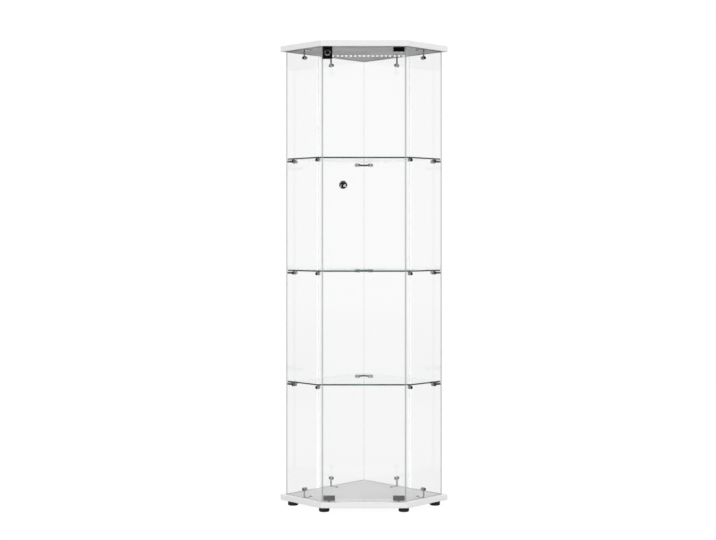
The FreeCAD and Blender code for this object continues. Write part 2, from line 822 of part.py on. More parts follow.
def door_clamp(name, x, z, studs, flip):
    """Channel over the door's edge. Its own Z points at the board, Y to the back."""
    body = new_body(name)
    half_glass = "dims.glass_thick / 2"
    front = "-dims.glass_thick / 2 - dims.clamp_front"
    slot = "dims.glass_thick / 2 + dims.pad_thick"
    rear = f"{slot} + dims.clamp_back"
    channel = new_sketch(body, "channel", "YZ_Plane")
    draw_loop(channel, [
        (front, "0"),
        (front, "-dims.clamp_height"),
        ("-" + half_glass, "-dims.clamp_height"),
        ("-" + half_glass, "-dims.clamp_bridge"),
        (slot, "-dims.clamp_bridge"),
        (slot, "-dims.clamp_height"),
        (rear, "-dims.clamp_height"),
        (rear, "0"),
    ])
    pad(body, channel, "dims.clamp_width", middle=True)
    reach = value("dims.clamp_width") / 2
    back = value(rear)
    face = value(front)
    dress(body, "Chamfer", "dims.clamp_bevel",
          lambda edge: is_upright(edge) and edge.BoundBox.YMin > back - 1e-6
          and abs(abs(edge.BoundBox.XMin) - reach) < 1e-6)
    dress(body, "Fillet", "dims.clamp_round",
          lambda edge: is_straight(edge) and edge.BoundBox.YMax < face + 1e-6)
    holes = new_sketch(body, "grub_holes", "XZ_Plane")
    for side in ("-", ""):
        draw_circle(holes, f"{side}dims.clamp_width / 4",
                    "-(dims.clamp_height + dims.clamp_bridge) / 2",
                    screw_bore("dims.grub_diameter"))
    pocket(body, holes)
    for step, (diameter, length) in enumerate(studs):
        stud = new_sketch(body, f"stud_{step}")
        draw_circle(stud, "0", "0", diameter)
        pad(body, stud, length)
    dress(body, "Fillet", "dims.pin_diameter / 8",
          lambda edge: edge.Curve.TypeId == "Part::GeomCircle"
          and edge.BoundBox.ZMin > value(length) - 1e-6)
    upside_down = FreeCAD.Rotation(FreeCAD.Vector(0, 1, 0), 180)
    place(body, x, "plan.pivot_y", z, upside_down if flip else None)


def make_clamps():
    roof_pin = ("dims.pin_diameter", "dims.roof_play + dims.pin_reach")
    deck_pin = ("dims.pin_diameter", "dims.deck_play + dims.pin_reach")
    collar = ("dims.collar_diameter", "dims.deck_play - dims.glide_play")
    door_clamp("top_hinge_clamp", "plan.pivot_x", "plan.door_roof", [roof_pin], False)
    door_clamp("bottom_hinge_clamp", "plan.pivot_x", "plan.door_deck",
               [collar, deck_pin], True)
    door_clamp("glide_clamp", "-plan.pivot_x", "plan.door_deck", [collar], True)


def grub_master():
    """Set screw along Z from the pad, with a hexagon socket at its far end."""
    body = new_body("grub_master", keep=False)
    shank = new_sketch(body, "shank")
    draw_circle(shank, "0", "0", "dims.grub_diameter")
    length = "dims.clamp_back + dims.grub_proud"
    pad(body, shank, length)
    socket = new_sketch(body, "socket", offset=length)
    flat = "dims.grub_diameter / 4"
    side = "dims.grub_diameter / 4 / sqrt(3)"
    draw_loop(socket, [
        (flat, f"-{side}"), (flat, side), ("0", f"2 * {side}"),
        ("-" + flat, side), ("-" + flat, f"-{side}"), ("0", f"-2 * {side}"),
    ])
    pocket(body, socket, "dims.clamp_back / 2")
    return body


def pad_master():
    """Pressure pad between glass and set screws, hanging down from Z = 0."""
    body = new_body("pad_master", keep=False)
    sketch = new_sketch(body, "plate", "XZ_Plane")
    half = "dims.clamp_width / 2 - 5"
    draw_box(sketch, f"-({half})", "dims.clamp_bridge - dims.clamp_height + 1",
             half, "-0.5")
    pad(body, sketch, "dims.pad_thick", reverse=True)
    return body


def lock_pad_master():
    body = new_body("lock_pad_master", keep=False)
    sketch = new_sketch(body, "plate", "XZ_Plane")
    half = "dims.lock_width / 2 - 4"
    draw_box(sketch, f"-({half})", "dims.clamp_bridge - dims.lock_back_high + 1",
             half, "-0.5")
    pad(body, sketch, "dims.pad_thick", reverse=True)
    return body


def make_clamp_hardware():
    to_back = FreeCAD.Rotation(ALONG_Z, FreeCAD.Vector(0, 1, 0))
    upside_down = FreeCAD.Rotation(FreeCAD.Vector(0, 1, 0), 180)
    behind = "plan.door_front + dims.glass_thick"
    grub_y = f"{behind} + dims.pad_thick"
    drop = "(dims.clamp_height + dims.clamp_bridge) / 2"
    grubs = []
    for x, z in (("plan.pivot_x", f"plan.door_roof - {drop}"),
                 ("plan.pivot_x", f"plan.door_deck + {drop}"),
                 ("-plan.pivot_x", f"plan.door_deck + {drop}")):
        grubs.append((f"{x} - dims.clamp_width / 4", grub_y, z, to_back))
        grubs.append((f"{x} + dims.clamp_width / 4", grub_y, z, to_back))
    scatter("clamp_set_screws", grub_master(), grubs)
    scatter("clamp_pads", pad_master(), [
        ("plan.pivot_x", behind, "plan.door_roof - dims.clamp_bridge", None),
        ("plan.pivot_x", behind, "plan.door_deck + dims.clamp_bridge", upside_down),
        ("-plan.pivot_x", behind, "plan.door_deck + dims.clamp_bridge", upside_down),
    ])


def bush(name, z, flip):
    """Nylon bush in a board. Its own Z points out of its mouth."""
    body = new_body(name)
    profile = new_sketch(body, "profile", "XZ_Plane")
    outer = "dims.bush_diameter / 2"
    bore = "dims.pin_diameter / 2 + dims.pin_play"
    floor = "-dims.pin_reach - dims.pin_end_play"
    draw_loop(profile, [
        ("0", f"{floor} - dims.bush_floor"),
        (outer, f"{floor} - dims.bush_floor"),
        (outer, "0"),
        (bore, "0"),
        (bore, floor),
        ("0", floor),
    ])
    revolve(body, profile)
    upside_down = FreeCAD.Rotation(FreeCAD.Vector(1, 0, 0), 180)
    place(body, "plan.pivot_x", "plan.pivot_y", z, upside_down if flip else None)


# ---------------------------------------------------------------- pull knob

def make_pull():
    """Round pull: foot, neck, and a head with a dished face. Z points to the front."""
    to_front = FreeCAD.Rotation(ALONG_Z, FreeCAD.Vector(0, -1, 0))
    body = new_body("door_pull")
    profile = new_sketch(body, "profile", "XZ_Plane")
    neck = "dims.pull_neck / 2"
    head = "dims.pull_diameter / 2"
    bore = "dims.stud_diameter / 2 + dims.thread_play"
    draw_loop(profile, [
        (bore, "0"),
        ("dims.pull_base / 2", "0"),
        ("dims.pull_base / 2", "1.5"),
        (neck, "4"),
        (neck, "dims.pull_length - 14"),
        (f"{head} - 1.5", "dims.pull_length - 7", "9.5", 1),
        (head, "dims.pull_length - 5"),
        ("plan.dish_half", "dims.pull_length", "6", -1),
        ("0", "dims.pull_length - dims.pull_dish", "plan.dish_radius", 1),
        ("0", "11"),
        (bore, "11"),
    ])
    revolve(body, profile)
    place(body, "-dims.pull_offset", "plan.door_front - dims.washer_thick",
          "dims.pull_height", to_front)

    screw = new_body("pull_screw")
    profile = new_sketch(screw, "profile", "XZ_Plane")
    shank = "dims.stud_diameter / 2"
    tip = "dims.glass_thick + 2 * dims.washer_thick + 8"
    draw_loop(profile, [
        ("0", "-2.6"),
        ("3.2", "-2.6"),
        ("4.5", "-1.3"),
        ("4.5", "0"),
        (shank, "0"),
        (shank, tip),
        ("0", tip),
    ])
    revolve(screw, profile)
    place(screw, "-dims.pull_offset",
          "plan.door_front + dims.glass_thick + dims.washer_thick",
          "dims.pull_height", to_front)

    washer = new_body("washer_master", keep=False)
    ring = new_sketch(washer, "ring")
    draw_circle(ring, "0", "0", "dims.pull_base - 3")
    draw_circle(ring, "0", "0", "dims.stud_diameter + 0.6")
    pad(washer, ring, "dims.washer_thick")
    scatter("pull_washers", washer, [
        ("-dims.pull_offset", "plan.door_front", "dims.pull_height", to_front),
        ("-dims.pull_offset", "plan.door_front + dims.glass_thick + dims.washer_thick",
         "dims.pull_height", to_front),
    ])


# ---------------------------------------------------------------- lock

PLUG_DROP = "dims.lock_height / 2"
CAVITY_BACK = "-dims.bolt_wall"
CAVITY_FRONT = "-dims.bolt_wall - dims.bolt_thick - 2 * dims.bolt_play"


def place_lock_piece(body):
    place(body, "plan.lock_x", "plan.door_front", "plan.door_roof")


def make_lock_case():
    """Case clamped over the door's corner. Y = 0 is the glass front, Z = 0 its top."""
    body = new_body("lock_case")
    slot = "dims.glass_thick + dims.pad_thick"
    rear = f"{slot} + dims.lock_back"
    side = new_sketch(body, "side", "YZ_Plane")
    draw_loop(side, [
        ("-dims.lock_depth", "0"),
        ("-dims.lock_depth", "-dims.lock_height"),
        ("0", "-dims.lock_height"),
        ("0", "-dims.clamp_bridge"),
        (slot, "-dims.clamp_bridge"),
        (slot, "-dims.lock_back_high"),
        (rear, "-dims.lock_back_high"),
        (rear, "0"),
    ])
    pad(body, side, "dims.lock_width", middle=True)
    face = -value("dims.lock_depth")
    dress(body, "Fillet", "dims.clamp_round",
          lambda edge: is_straight(edge) and edge.BoundBox.YMax < face + 1e-6)

    notch = new_sketch(body, "notch")
    draw_box(notch, "-dims.lock_width", "0", "-dims.lock_width / 2 + dims.lock_lap", rear)
    pocket(body, notch, "2 * dims.lock_height + 2", middle=True)

    cavity = new_sketch(body, "cavity")
    draw_box(cavity, "-dims.bolt_width / 2 - dims.bolt_play", CAVITY_FRONT,
             "dims.bolt_width / 2 + dims.bolt_play", CAVITY_BACK)
    pocket(body, cavity,
           f"{PLUG_DROP} + plan.drive_arm + dims.drive_diameter / 2 + dims.slot_play"
           " + 3 + dims.bolt_play * 2")

    bezel = new_sketch(body, "bezel", "XZ_Plane", "dims.lock_depth")
    draw_circle(bezel, "0", f"-{PLUG_DROP}", "dims.bezel_diameter")
    pad(body, bezel, "dims.bezel_proud")
    front = face - value("dims.bezel_proud")
    dress(body, "Chamfer", "dims.bezel_proud * 0.9",
          lambda edge: edge.Curve.TypeId == "Part::GeomCircle"
          and edge.BoundBox.YMax < front + 1e-6)

    bore = new_sketch(body, "bore", "XZ_Plane",
                      "-(" + CAVITY_FRONT + ") - dims.bolt_play")
    draw_circle(bore, "0", f"-{PLUG_DROP}", "dims.plug_diameter + 2 * dims.thread_play")
    pocket(body, bore, reverse=True)

    holes = new_sketch(body, "grub_holes", "XZ_Plane", "-dims.glass_thick")
    for sign in ("-", ""):
        draw_circle(holes, f"{sign}dims.lock_width / 4",
                    "-(dims.lock_back_high + dims.clamp_bridge) / 2",
                    screw_bore("dims.grub_diameter"))
    pocket(body, holes)
    place_lock_piece(body)


def make_lock_plug():
    """Key plug with an eccentric pin behind it that lifts the bolt."""
    body = new_body("lock_plug")
    rear = f"-({CAVITY_FRONT}) + 0.1"
    barrel = new_sketch(body, "barrel", "XZ_Plane", rear)
    draw_circle(barrel, "0", f"-{PLUG_DROP}", "dims.plug_diameter")
    pad(body, barrel, "dims.plug_length")
    face = f"{rear} + dims.plug_length"
    key = new_sketch(body, "key_slot", "XZ_Plane", face)
    draw_box(key, "-dims.key_width / 2", f"-{PLUG_DROP} - dims.key_height / 2",
             "dims.key_width / 2", f"-{PLUG_DROP} + dims.key_height / 2")
    pocket(body, key, "dims.key_depth")
    drive = new_sketch(body, "drive", "XZ_Plane", rear)
    draw_circle(drive, "0", f"-{PLUG_DROP} - plan.drive_arm", "dims.drive_diameter")
    pad(body, drive, "dims.bolt_thick", reverse=True)
    place_lock_piece(body)


def make_lock_bolt():
    """Flat bolt that slides up into the top board, with a cross slot for the pin."""
    body = new_body("lock_bolt")
    sketch = new_sketch(body, "plate", "XZ_Plane", "dims.bolt_wall + dims.bolt_play")
    slot_middle = f"-{PLUG_DROP} - plan.drive_arm"
    slot_half = "dims.drive_diameter / 2 + dims.slot_play"
    slot_reach = "plan.drive_arm + dims.drive_diameter / 2 + 0.4"
    draw_box(sketch, "-dims.bolt_width / 2", f"{slot_middle} - ({slot_half}) - 3",
             "dims.bolt_width / 2", "-0.2")
    draw_box(sketch, f"-({slot_reach})", f"{slot_middle} - ({slot_half})",
             slot_reach, f"{slot_middle} + {slot_half}")
    pad(body, sketch, "dims.bolt_thick")
    place_lock_piece(body)


def make_lock():
    to_back = FreeCAD.Rotation(ALONG_Z, FreeCAD.Vector(0, 1, 0))
    behind = "plan.door_front + dims.glass_thick"
    middle = "plan.door_roof - (dims.lock_back_high + dims.clamp_bridge) / 2"
    make_lock_case()
    make_lock_plug()
    make_lock_bolt()
    scatter("lock_set_screws", doc.getObject("grub_master"), [
        (f"plan.lock_x {sign} dims.lock_width / 4", f"{behind} + dims.pad_thick",
         middle, to_back) for sign in ("-", "+")])
    scatter("lock_pad", lock_pad_master(), [
        ("plan.lock_x", behind, "plan.door_roof - dims.clamp_bridge", None)])


# ---------------------------------------------------------------- LED tape

def led_tape(name, length, rotation, x, y, z):
    """Tape along its own X from 0, lying on Z = 0 with the LEDs above it."""
    body = new_body(name)
    strip = new_sketch(body, "strip")
    draw_box(strip, "0", "-dims.tape_width / 2", length, "dims.tape_width / 2")
    pad(body, strip, "dims.tape_thick")
    led = new_sketch(body, "led", offset="dims.tape_thick")
    count = f"floor(({length}) / dims.led_pitch)"
    first = f"(({length}) - ({count} - 1) * dims.led_pitch) / 2"
    draw_box(led, f"{first} - dims.led_size / 2", "-dims.led_size / 2",
             f"{first} + dims.led_size / 2", "dims.led_size / 2")
    chip = pad(body, led, "dims.led_thick")
    doc.recompute()
    row = body.newObject("PartDesign::LinearPattern", name + "_row")
    row.Originals = [chip]
    row.Direction = (strip, ["H_Axis"])
    row.Mode = "Spacing"
    bind(row, "Offset", "dims.led_pitch")
    bind(row, "Occurrences", count)
    body.Tip = row
    place(body, x, y, z, rotation)


def make_tapes():
    upside_down = FreeCAD.Rotation(FreeCAD.Vector(1, 0, 0), 180)
    led_tape("roof_led_tape", "plan.roof_tape", upside_down,
             "-plan.roof_tape / 2", "plan.tape_y", "plan.roof_z")
    height = "plan.deck_z + dims.tape_margin"
    for side, sign, name in (("left", "-", "left_back"), ("right", "", "right_back")):
        inward = PANES[name][2]
        normal = FreeCAD.Vector(inward.x, inward.y, 0).normalize()
        # Own X up the pane, own Z into the cabinet.
        rotation = FreeCAD.Rotation(ALONG_Z, ALONG_Z.cross(normal) * -1, normal, "XZY")
        led_tape(f"{side}_led_tape", "plan.wall_tape", rotation,
                 f"{sign}plan.tape_x", "plan.tape_y", height)


# ---------------------------------------------------------------- build, test and write

def check_document():
    doc.recompute()
    for thing in doc.Objects:
        if "Invalid" in thing.State or "Error" in thing.State:
            raise RuntimeError(f"{thing.Label} failed: {thing.State}")
    for part in sub_parts:
        if part.Shape.isNull() or not part.Shape.isValid():
            raise RuntimeError(f"{part.Label} has no valid shape")


def write_parts():
    os.makedirs("parts", exist_ok=True)
    for part in sub_parts:
        part.Shape.exportStep(f"parts/{part.Label}.step")
        print(f"{part.Label}: {len(part.Shape.Solids)} solids, "
              f"{part.Shape.Volume / 1000:.1f} cm3")


make_boards()
make_feet()
make_glass()
make_bars()
make_fittings()
make_door_glass()
make_clamps()
make_clamp_hardware()
bush("top_pivot_bush", "plan.roof_z", True)
bush("bottom_pivot_bush", "plan.deck_z", False)
make_pull()
make_lock()
make_tapes()
check_document()
write_parts()
print(f"{len(sub_parts)} nodes")
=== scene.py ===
# %% [markdown]
# # A corner curio cabinet in a white studio
# The cabinet is a tall five-sided glass case between two white boards. A frameless glass door
# turns on two small clamps, the panes and shelves are held by round plated fittings and bent
# flat bars, and LED tape runs across the top and up both back panes.
#
# The exact solids are already built and packed. This script loads them as a fixed frame, gives
# every surface its finish, replaces the glass sheets by copies with ground edges and the LED
# tapes by finer ones, and sets up a plain studio.

import math

import bmesh
import bpy
from mathutils import Matrix, Vector


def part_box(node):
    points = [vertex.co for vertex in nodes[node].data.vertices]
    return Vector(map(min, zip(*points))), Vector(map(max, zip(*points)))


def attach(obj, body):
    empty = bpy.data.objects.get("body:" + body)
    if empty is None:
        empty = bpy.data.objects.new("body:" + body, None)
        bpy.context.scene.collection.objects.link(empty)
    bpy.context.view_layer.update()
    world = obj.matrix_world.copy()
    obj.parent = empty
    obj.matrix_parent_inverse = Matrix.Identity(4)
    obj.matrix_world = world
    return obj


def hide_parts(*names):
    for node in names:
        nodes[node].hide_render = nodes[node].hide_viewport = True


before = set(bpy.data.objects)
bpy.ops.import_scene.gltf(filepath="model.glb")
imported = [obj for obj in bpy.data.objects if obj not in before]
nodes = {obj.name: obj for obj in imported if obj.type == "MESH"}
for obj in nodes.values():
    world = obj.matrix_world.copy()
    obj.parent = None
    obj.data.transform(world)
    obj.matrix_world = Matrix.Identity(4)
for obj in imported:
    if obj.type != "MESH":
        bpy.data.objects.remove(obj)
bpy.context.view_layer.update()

# %% [markdown]
# ## Landmarks
# Everything is in metres: X to the right, Y to the back corner, Z up, floor at 0. Landmarks are
# read from the solids, so that they can't drift apart. Camera, lamps and flags all stand off
# from the front edge.

# %% Read the landmarks
MM = 0.001
front_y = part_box("bottom_board")[0].y
deck_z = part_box("bottom_board")[1].z
roof_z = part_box("top_board")[0].z
print(f"front edge at y {front_y:.4f}, deck at z {deck_z:.3f}, underside at z {roof_z:.3f}")

# %% [markdown]
# ## Camera
# A product shot of a tall cabinet is taken level, so that uprights stay parallel. The camera
# stands a few metres in front of the boards, a little under a metre high. The frame is then
# moved a little, as a view camera's back is shifted, and the camera itself is never tilted.

# %% Make the camera
FRAME_WIDTH = 716
FOCAL_PIXELS = 1332
SHIFT_PIXELS = (-6, -37)
CAMERA_AWAY = 4.65
CAMERA_HIGH = 0.977
camera_data = bpy.data.cameras.new("studio_camera")
camera_data.sensor_width = 36
camera_data.lens = FOCAL_PIXELS * camera_data.sensor_width / FRAME_WIDTH
camera_data.shift_x = SHIFT_PIXELS[0] / FRAME_WIDTH
camera_data.shift_y = SHIFT_PIXELS[1] / FRAME_WIDTH
camera = bpy.data.objects.new("studio_camera", camera_data)
camera.location = (0, front_y - CAMERA_AWAY, CAMERA_HIGH)
camera.rotation_euler = (math.radians(90), 0, 0)
bpy.context.scene.collection.objects.link(camera)
bpy.context.scene.camera = camera
bpy.context.scene.view_settings.view_transform = "Standard"
print(f"lens {camera_data.lens:.2f} mm, {CAMERA_AWAY} m away and {CAMERA_HIGH} m high")

# %% [markdown]
# ## Helpers for materials
# A material is a small network of nodes. These helpers keep the cells short: they make a
# material with its Principled shader, add a node, place a shared effect, turn a coordinate into
# a soft mask, do a sum, and lay a second tone over a finish where a mask says so.

# %% Material helpers
def new_material(name):
    """A material, its node tree and its Principled shader."""
    material = bpy.data.materials.new(name)
    material.use_nodes = True
    tree = material.node_tree
    return material, tree, tree.nodes["Principled BSDF"]


def add_node(tree, kind, **values):
    """A node with some of its settings changed."""
    node = tree.nodes.new(kind)
    for key, value in values.items():
        setattr(node, key, value)
    return node


def object_place(tree):
    """Coordinates that stay with the piece, in metres."""
    return add_node(tree, "ShaderNodeTexCoord").outputs["Object"]


def add_group(tree, group, **inputs):
    """Place a shared effect. A value is set, and a socket is linked."""
    node = add_node(tree, "ShaderNodeGroup", node_tree=group)
    for title, value in inputs.items():
        socket = node.inputs[title.replace("_", " ")]
        if isinstance(value, bpy.types.NodeSocket):
            tree.links.new(value, socket)
        else:
            socket.default_value = value
    return node


def fade_of(tree, socket, none_at, full_at):
    """A value that runs from 0 at one place to 1 at another, as a mask."""
    fade = add_node(tree, "ShaderNodeMapRange")
    fade.inputs["From Min"].default_value = none_at
    fade.inputs["From Max"].default_value = full_at
    tree.links.new(socket, fade.inputs["Value"])
    return fade.outputs["Result"]


def parts_of(tree, socket):
    """The X, Y and Z of a vector."""
    apart = add_node(tree, "ShaderNodeSeparateXYZ")
    tree.links.new(socket, apart.inputs["Vector"])
    return apart.outputs["X"], apart.outputs["Y"], apart.outputs["Z"]


def math_of(tree, operation, first, second):
    """A sum or the like, of a socket with another socket or with a number."""
    node = add_node(tree, "ShaderNodeMath", operation=operation)
    tree.links.new(first, node.inputs[0])
    if isinstance(second, (int, float)):
        node.inputs[1].default_value = second
    else:
        tree.links.new(second, node.inputs[1])
    return node.outputs["Value"]


def overlay(material, mask, color):
    """Lay a second tone over a finish, as far as a mask says."""
    tree = material.node_tree
    base = tree.nodes["Principled BSDF"].inputs["Base Color"]
    tone = base.links[0].from_socket
    mix = add_node(tree, "ShaderNodeMix", data_type="RGBA")
    mix.inputs["B"].default_value = (*color, 1)
    tree.links.new(mask, mix.inputs["Factor"])
    tree.links.new(tone, mix.inputs["A"])
    tree.links.new(mix.outputs["Result"], base)


def new_group(name, inputs, output, kind):
    """An empty shared effect: named inputs with their defaults, and one output."""
    group = bpy.data.node_groups.new(name, "ShaderNodeTree")
    for title, socket_kind, value in inputs:
        socket = group.interface.new_socket(title, in_out="INPUT", socket_type=socket_kind)
        if value is not None:
            socket.default_value = value
    group.interface.new_socket(output, in_out="OUTPUT", socket_type=kind)
    return group, group.nodes.new("NodeGroupInput"), group.nodes.new("NodeGroupOutput")


VECTOR, FLOAT, COLOR = "NodeSocketVector", "NodeSocketFloat", "NodeSocketColor"
print("material helpers ready")

# %% [markdown]
# ## Shared effects
# No real surface is the same all over. Lacquer has cloudy patches, glass has smears, plated
# metal has faint polishing lines, and moulded plastic has grain. Three node groups make these,
# each with its own inputs, so that many materials can use them with other values.

# %% Uneven tone: a cloudy mix of two colours
uneven_tone, enter, leave = new_group("uneven_tone", [
    ("Place", VECTOR, None), ("Scale", FLOAT, 8.0),
    ("First", COLOR, (0.5, 0.5, 0.5, 1)), ("Second", COLOR, (0.6, 0.6, 0.6, 1))],
    "Color", COLOR)
cloud = add_node(uneven_tone, "ShaderNodeTexNoise")
cloud.inputs["Detail"].default_value = 3
mix = add_node(uneven_tone, "ShaderNodeMix", data_type="RGBA")
uneven_tone.links.new(enter.outputs["Place"], cloud.inputs["Vector"])
uneven_tone.links.new(enter.outputs["Scale"], cloud.inputs["Scale"])
uneven_tone.links.new(cloud.outputs["Fac"], mix.inputs["Factor"])
uneven_tone.links.new(enter.outputs["First"], mix.inputs["A"])
uneven_tone.links.new(enter.outputs["Second"], mix.inputs["B"])
uneven_tone.links.new(mix.outputs["Result"], leave.inputs["Color"])
print("made", uneven_tone.name)

# %% Uneven gloss: roughness that wanders between two values
uneven_gloss, enter, leave = new_group("uneven_gloss", [
    ("Place", VECTOR, None), ("Scale", FLOAT, 20.0),
    ("Smooth", FLOAT, 0.2), ("Rough", FLOAT, 0.3)], "Roughness", FLOAT)
cloud = add_node(uneven_gloss, "ShaderNodeTexNoise")
cloud.inputs["Detail"].default_value = 4
spread = add_node(uneven_gloss, "ShaderNodeMapRange")
spread.inputs["From Min"].default_value = 0.35
spread.inputs["From Max"].default_value = 0.65
uneven_gloss.links.new(enter.outputs["Place"], cloud.inputs["Vector"])
uneven_gloss.links.new(enter.outputs["Scale"], cloud.inputs["Scale"])
uneven_gloss.links.new(cloud.outputs["Fac"], spread.inputs["Value"])
uneven_gloss.links.new(enter.outputs["Smooth"], spread.inputs["To Min"])
uneven_gloss.links.new(enter.outputs["Rough"], spread.inputs["To Max"])
uneven_gloss.links.new(spread.outputs["Result"], leave.inputs["Roughness"])
print("made", uneven_gloss.name)

# %% Grain: a height for moulded or brushed surfaces
grain, enter, leave = new_group("grain", [
    ("Place", VECTOR, None), ("Stretch", VECTOR, (1, 1, 1)),
    ("Scale", FLOAT, 900.0)], "Height", FLOAT)
pull_long = add_node(grain, "ShaderNodeVectorMath", operation="MULTIPLY")
speckle = add_node(grain, "ShaderNodeTexNoise")
speckle.inputs["Detail"].default_value = 2
grain.links.new(enter.outputs["Place"], pull_long.inputs[0])
grain.links.new(enter.outputs["Stretch"], pull_long.inputs[1])
grain.links.new(pull_long.outputs["Vector"], speckle.inputs["Vector"])
grain.links.new(enter.outputs["Scale"], speckle.inputs["Scale"])
grain.links.new(speckle.outputs["Fac"], leave.inputs["Height"])
print("made", grain.name)

# %% [markdown]
# ## A general finish
# Most finishes differ only in colour, gloss and grain, so one function makes them from the
# shared effects. Metal, glass and light-giving surfaces then add what they need.

# %% Finish function
def finish(name, first, second, smooth, rough, tone_scale=6.0, gloss_scale=25.0,
           grain_scale=None, stretch=(1, 1, 1), bump=0.05, metallic=0.0):
    """A surface with an uneven tone and gloss, and a grain where it is asked for."""
    material, tree, shader = new_material(name)
    place = object_place(tree)
    tone = add_group(tree, uneven_tone, Place=place, Scale=tone_scale,
                     First=(*first, 1), Second=(*second, 1))
    tree.links.new(tone.outputs["Color"], shader.inputs["Base Color"])
    gloss = add_group(tree, uneven_gloss, Place=place, Scale=gloss_scale,
                      Smooth=smooth, Rough=rough)
    tree.links.new(gloss.outputs["Roughness"], shader.inputs["Roughness"])
    shader.inputs["Metallic"].default_value = metallic
    if grain_scale:
        speckle = add_group(tree, grain, Place=place, Stretch=stretch, Scale=grain_scale)
        raised = add_node(tree, "ShaderNodeBump")
        raised.inputs["Strength"].default_value = bump
        raised.inputs["Distance"].default_value = 0.0001
        tree.links.new(speckle.outputs["Height"], raised.inputs["Height"])
        tree.links.new(raised.outputs["Normal"], shader.inputs["Normal"])
    return material


print("finish function ready")

# %% [markdown]
# ## White boards
# The boards are chipboard with a white melamine coat: satin, hard, and very slightly uneven
# under a raking light. The grain is a faint orange peel, far too fine to see as a pattern.

# %% Board finish
board_white = finish("board_white", (0.80, 0.80, 0.80), (0.84, 0.84, 0.84), 0.38, 0.5,
                     tone_scale=3.0, gloss_scale=9.0, grain_scale=700, bump=0.08)
board_white.node_tree.nodes["Principled BSDF"].inputs["Specular IOR Level"].default_value = 0.2
print("made", board_white.name)

# %% [markdown]
# ## Plated and steel fittings
# The clamps and the pull are bright chrome. A mirror has no colour of its own; what shows is
# the room, so the finish needs low roughness, faint polishing marks, and something dark in the
# studio to reflect. The pegs, nuts and caps are a darker copy of the chrome, and the bent bars,
# which keep the lines of rolling along their length, are darker still: painted shade for the
# dim room they mirror. Near the deck the bars get painted light, as they mirror the white deck.
# The lock is black nickel, with a painted highlight on the lower half of its ring, which stands
# in for the bright floor it mirrors. Screws inside are zinc plated, duller and slightly blue.

# %% Metal finishes
chrome = finish("chrome", (0.54, 0.54, 0.55), (0.62, 0.62, 0.63), 0.03, 0.08,
                tone_scale=60, gloss_scale=220, grain_scale=1500, bump=0.03, metallic=1.0)
# Painted shade: the bars are a darker copy of the chrome, for the dim room they mirror.
bar_chrome_painted_shade = finish("bar_chrome_painted_shade", (0.15, 0.15, 0.16), (0.20, 0.20, 0.21), 0.10, 0.2,
                    tone_scale=80, gloss_scale=150, grain_scale=600,
                    stretch=(0.2, 0.2, 6), bump=0.12, metallic=1.0)
# Painted shade: pegs, nuts and caps are a darker copy of the chrome.
peg_chrome_painted_shade = finish("peg_chrome_painted_shade", (0.36, 0.36, 0.37), (0.42, 0.42, 0.43), 0.04, 0.10,
                   tone_scale=60, gloss_scale=220, grain_scale=1500, bump=0.03, metallic=1.0)
lock_black = finish("lock_black", (0.10, 0.10, 0.11), (0.14, 0.14, 0.15), 0.06, 0.14,
                    tone_scale=60, gloss_scale=220, grain_scale=1500, bump=0.03, metallic=1.0)
zinc_steel = finish("zinc_steel", (0.48, 0.49, 0.52), (0.56, 0.57, 0.59), 0.28, 0.42,
                    tone_scale=120, gloss_scale=260, grain_scale=1200, bump=0.1,
                    metallic=1.0)


def painted_highlight_ring(material, piece, inner, outer):
    """Paint a highlight on the lower half of the lock's ring, standing in for the bright floor
    it mirrors.
    """
    tree = material.node_tree
    low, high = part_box(piece)
    centre = (low + high) / 2
    away = add_node(tree, "ShaderNodeVectorMath", operation="SUBTRACT")
    tree.links.new(object_place(tree), away.inputs[0])
    away.inputs[1].default_value = centre
    flat = add_node(tree, "ShaderNodeVectorMath", operation="MULTIPLY")
    tree.links.new(away.outputs["Vector"], flat.inputs[0])
    flat.inputs[1].default_value = (1, 0, 1)
    radius = add_node(tree, "ShaderNodeVectorMath", operation="LENGTH")
    tree.links.new(flat.outputs["Vector"], radius.inputs[0])
    height = parts_of(tree, flat.outputs["Vector"])[2]
    below = fade_of(tree, height, none_at=4 * MM, full_at=-1 * MM)
    soft = 0.4 * MM
    inside = fade_of(tree, radius.outputs["Value"], outer, outer - soft)
    outside = fade_of(tree, radius.outputs["Value"], inner, inner + soft)
    band = math_of(tree, "MULTIPLY", inside, outside)
    overlay(material, math_of(tree, "MULTIPLY", band, below), (0.86, 0.86, 0.87))


def painted_light_near_deck(material):
    """Paint the bars lighter near the deck, as they mirror the white deck, and leave them darker
    higher up.
    """
    tree = material.node_tree
    height = parts_of(tree, object_place(tree))[2]
    low = fade_of(tree, height, none_at=0.35, full_at=0.2)
    overlay(material, low, (0.42, 0.42, 0.43))


RING_INNER = 6.3 * MM
RING_OUTER = 11 * MM
# Painted highlight on the lower half of the lock's ring.
painted_highlight_ring(lock_black, "lock_plug", RING_INNER, RING_OUTER)
# Painted light on the bars near the deck.
painted_light_near_deck(bar_chrome_painted_shade)
print("made", chrome.name, bar_chrome_painted_shade.name, peg_chrome_painted_shade.name, lock_black.name, zinc_steel.name)

# %% [markdown]
# ## Plastics and rubber
# The feet are black moulded plastic with a fine spark-eroded texture. The pivot bushes are
# natural nylon, milky and waxy. The pads between metal and glass are dark grey rubber.

